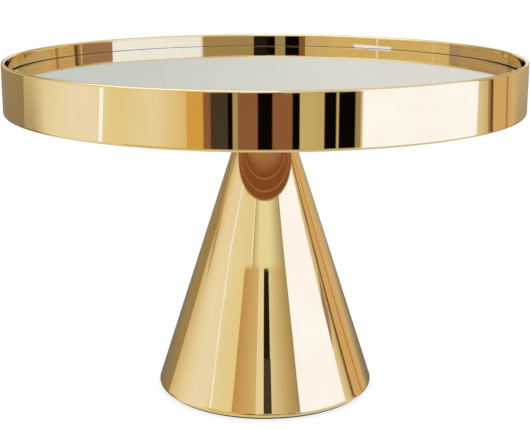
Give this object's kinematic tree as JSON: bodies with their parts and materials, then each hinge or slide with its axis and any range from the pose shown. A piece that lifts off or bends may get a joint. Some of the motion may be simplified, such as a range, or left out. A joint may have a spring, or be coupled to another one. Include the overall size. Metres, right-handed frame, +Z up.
{
  "type": "cake stand",
  "caption": "Round cake stand: a mirror-topped tray with a tall upright rim, screwed onto a plain conical pedestal, in mirror-polished gold plate.",
  "frame": {"origin": "centre of the foot, on the table the stand rests on", "axes": "+Z up along the stand's axis, through the middle of the tray; the stand is round, so +X and +Y are any two level directions at right angles"},
  "size_m": [0.3, 0.3, 0.199],
  "materials": {
    "gold_plate": "mirror-polished gold plate",
    "gold_plate_satin": "thin gold plate over copper, brushed but not polished",
    "mirror_glass": "silvered float glass",
    "foam_pad": "closed-cell foam tape",
    "zinc_steel": "zinc-plated",
    "nylon": "natural nylon",
    "black_steel": "black lacquer",
    "black_rubber": "moulded rubber"
  },
  "bodies": {
    "pedestal": {"cone_shell": "gold_plate", "neck_insert": "gold_plate_satin", "ballast_ring": "black_steel", "foot_ring": "black_rubber"},
    "washer": {"neck_washer": "nylon"},
    "tray": {"rim_band": "gold_plate", "tray_pan": "gold_plate_satin", "mirror_disc": "mirror_glass", "mirror_pads": "foam_pad", "stiffener_plate": "gold_plate_satin", "hub_boss": "gold_plate_satin", "centre_bolt": "zinc_steel", "spring_washer": "zinc_steel", "lock_nut": "zinc_steel"}
  },
  "joints": [
    {"name": "tray_turn", "type": "hinge", "parent": "pedestal", "child": "washer", "pos_m": [0, 0, 0.1728], "axis": [0, 0, 1], "range_deg": [0, 2880]},
    {"name": "tray_rise", "type": "slide", "parent": "washer", "child": "tray", "axis": [0, 0, 1], "range_m": [0, 0.0101]}
  ],
  "couplings": [
    {"joint": "tray_rise", "follows": "tray_turn", "m_per_rad": 0.00019894}
  ]
}
